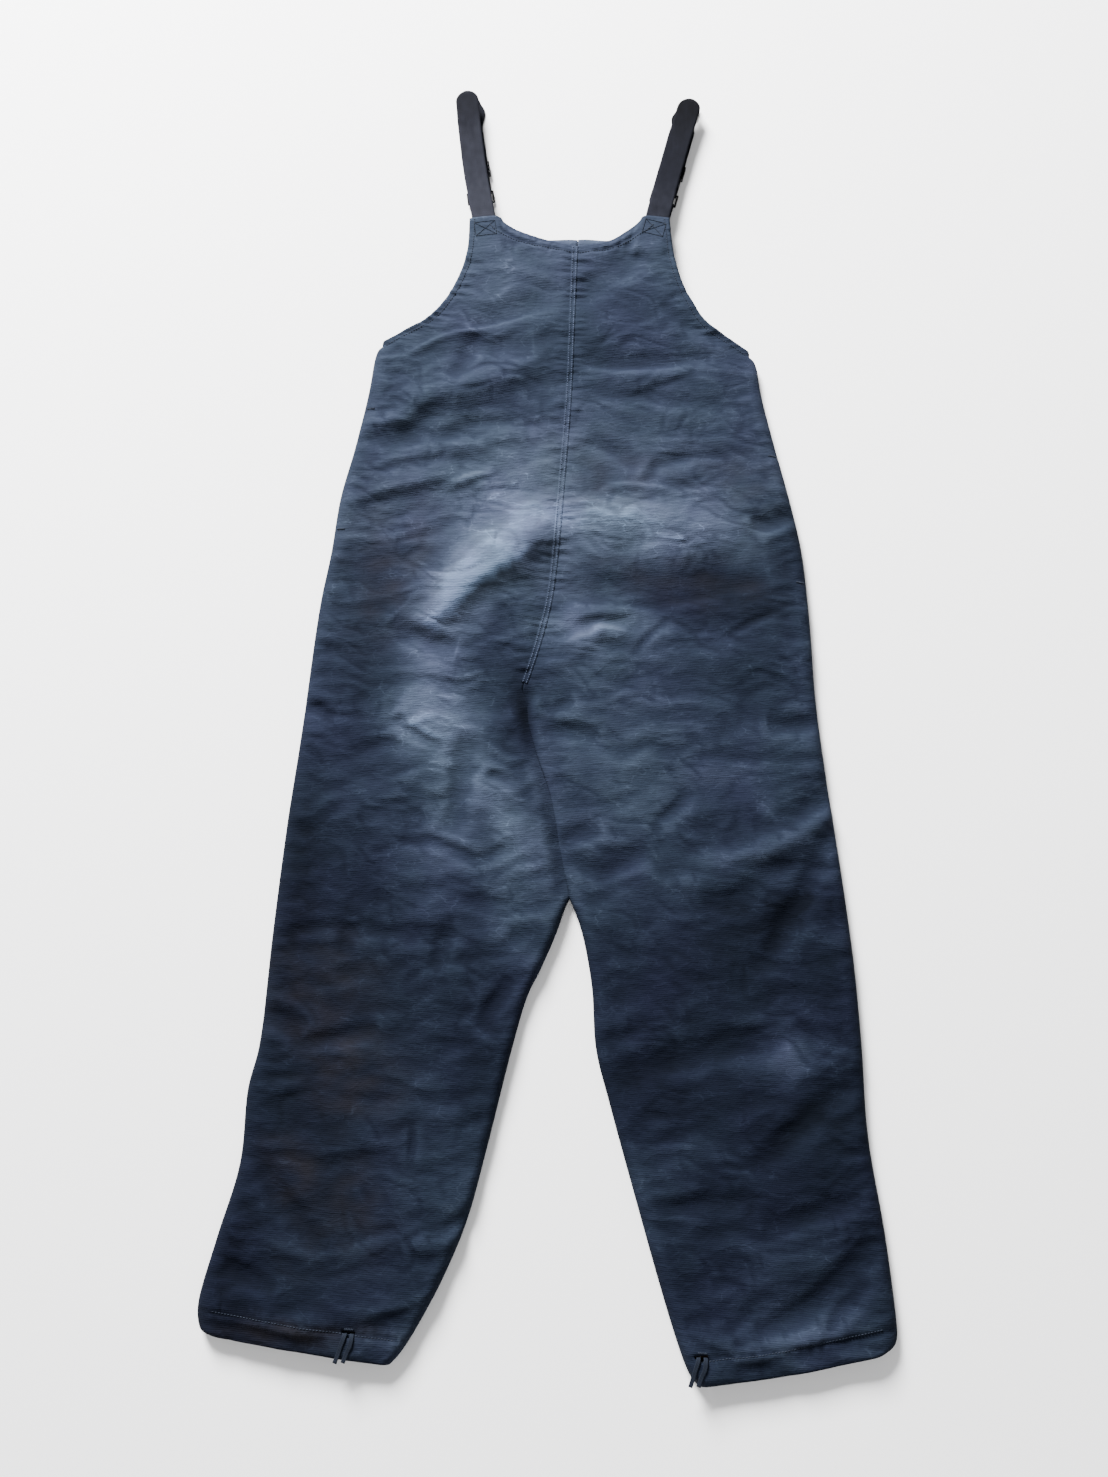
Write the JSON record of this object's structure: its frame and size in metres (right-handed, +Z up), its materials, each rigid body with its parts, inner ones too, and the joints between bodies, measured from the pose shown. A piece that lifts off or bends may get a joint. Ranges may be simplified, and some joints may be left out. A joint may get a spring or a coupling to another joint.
{
  "type": "bib overalls",
  "caption": "Lined cotton deck-style bib overalls laid flat, back up: felled back seam, elastic strap loops, front zip, side slits and draw-taped ankle hems.",
  "frame": {"origin": "on the surface that the garment lies on, under the middle of its whole plan including the strap loops", "axes": "+Z up out of the back of the garment, which lies on its front; +Y from the hems towards the straps; +X towards the right half as seen, which is the wearer's right"},
  "size_m": [0.782, 1.6328, 0.0252],
  "materials": {
    "shell_cloth": "faded navy ribbed cotton, matt, worn pale on the seat and creases",
    "wool_pile": "brown brushed wool pile",
    "elastic_webbing": "charcoal ribbed elastic webbing, matt",
    "sewing_thread": "faded grey-blue cotton thread",
    "cotton_tape": "dark twill tape",
    "zip_metal": "dull oxidised brass",
    "strap_metal": "dull zinc-plated steel"
  },
  "bodies": {
    "root": {"left_back_panel": "shell_cloth", "right_back_panel": "shell_cloth", "left_front_panel": "shell_cloth", "right_front_panel": "shell_cloth", "left_side_seam": "shell_cloth", "right_side_seam": "shell_cloth", "left_inseam": "shell_cloth", "right_inseam": "shell_cloth", "left_back_lining": "wool_pile", "right_back_lining": "wool_pile", "left_front_lining": "wool_pile", "right_front_lining": "wool_pile", "back_neck_facing": "shell_cloth", "left_neck_facing": "shell_cloth", "right_neck_facing": "shell_cloth", "left_back_armhole_facing": "shell_cloth", "right_back_armhole_facing": "shell_cloth", "left_front_armhole_facing": "shell_cloth", "right_front_armhole_facing": "shell_cloth", "back_seam_fell": "shell_cloth", "back_seam_threads": "sewing_thread", "edge_threads": "sewing_thread", "bar_tacks": "sewing_thread", "left_slit_binding": "shell_cloth", "right_slit_binding": "shell_cloth", "left_hem_facing": "shell_cloth", "right_hem_facing": "shell_cloth", "left_draw_tape": "cotton_tape", "right_draw_tape": "cotton_tape", "left_tape_end_a": "cotton_tape", "left_tape_end_b": "cotton_tape", "right_tape_end_a": "cotton_tape", "right_tape_end_b": "cotton_tape", "left_fly_facing": "shell_cloth", "right_fly_facing": "shell_cloth", "wind_flap": "shell_cloth", "left_zip_tape": "cotton_tape", "right_zip_tape": "cotton_tape", "left_zip_teeth": "zip_metal", "right_zip_teeth": "zip_metal", "top_stops": "zip_metal", "bottom_stop": "zip_metal", "left_strap_anchor": "elastic_webbing", "right_strap_anchor": "elastic_webbing", "left_front_tab": "elastic_webbing", "right_front_tab": "elastic_webbing"},
    "left_strap_loop": {"left_strap": "elastic_webbing", "left_tab_loop": "elastic_webbing", "left_ring": "strap_metal"},
    "right_strap_loop": {"right_strap": "elastic_webbing", "right_tab_loop": "elastic_webbing", "right_ring": "strap_metal"},
    "left_strap_slide": {"left_slide": "strap_metal"},
    "right_strap_slide": {"right_slide": "strap_metal"},
    "zip_runner": {"zip_slider": "zip_metal"},
    "zip_tab": {"zip_pull": "zip_metal"}
  },
  "joints": [
    {"name": "left_strap_lift", "type": "hinge", "parent": "root", "child": "left_strap_loop", "pos_m": [-0.18203, 0.6046, 0.00988], "axis": [0.9792, 0.2028, 0], "range_deg": [0, 90]},
    {"name": "left_strap_adjust", "type": "slide", "parent": "left_strap_loop", "child": "left_strap_slide", "axis": [-0.2028, 0.9792, 0], "range_m": [0, 0.05]},
    {"name": "right_strap_lift", "type": "hinge", "parent": "root", "child": "right_strap_loop", "pos_m": [0.05047, 0.6211, 0.00988], "axis": [0.9803, -0.1977, 0], "range_deg": [0, 90]},
    {"name": "right_strap_adjust", "type": "slide", "parent": "right_strap_loop", "child": "right_strap_slide", "axis": [0.1977, 0.9803, 0], "range_m": [0, 0.05]},
    {"name": "zip_run", "type": "slide", "parent": "root", "child": "zip_runner", "axis": [0, -1, 0], "range_m": [0, 0.47]},
    {"name": "zip_pull_swing", "type": "hinge", "parent": "zip_runner", "child": "zip_tab", "pos_m": [-0.05403, 0.5349, 0.00115], "axis": [1, 0, 0], "range_deg": [0, 140]}
  ]
}
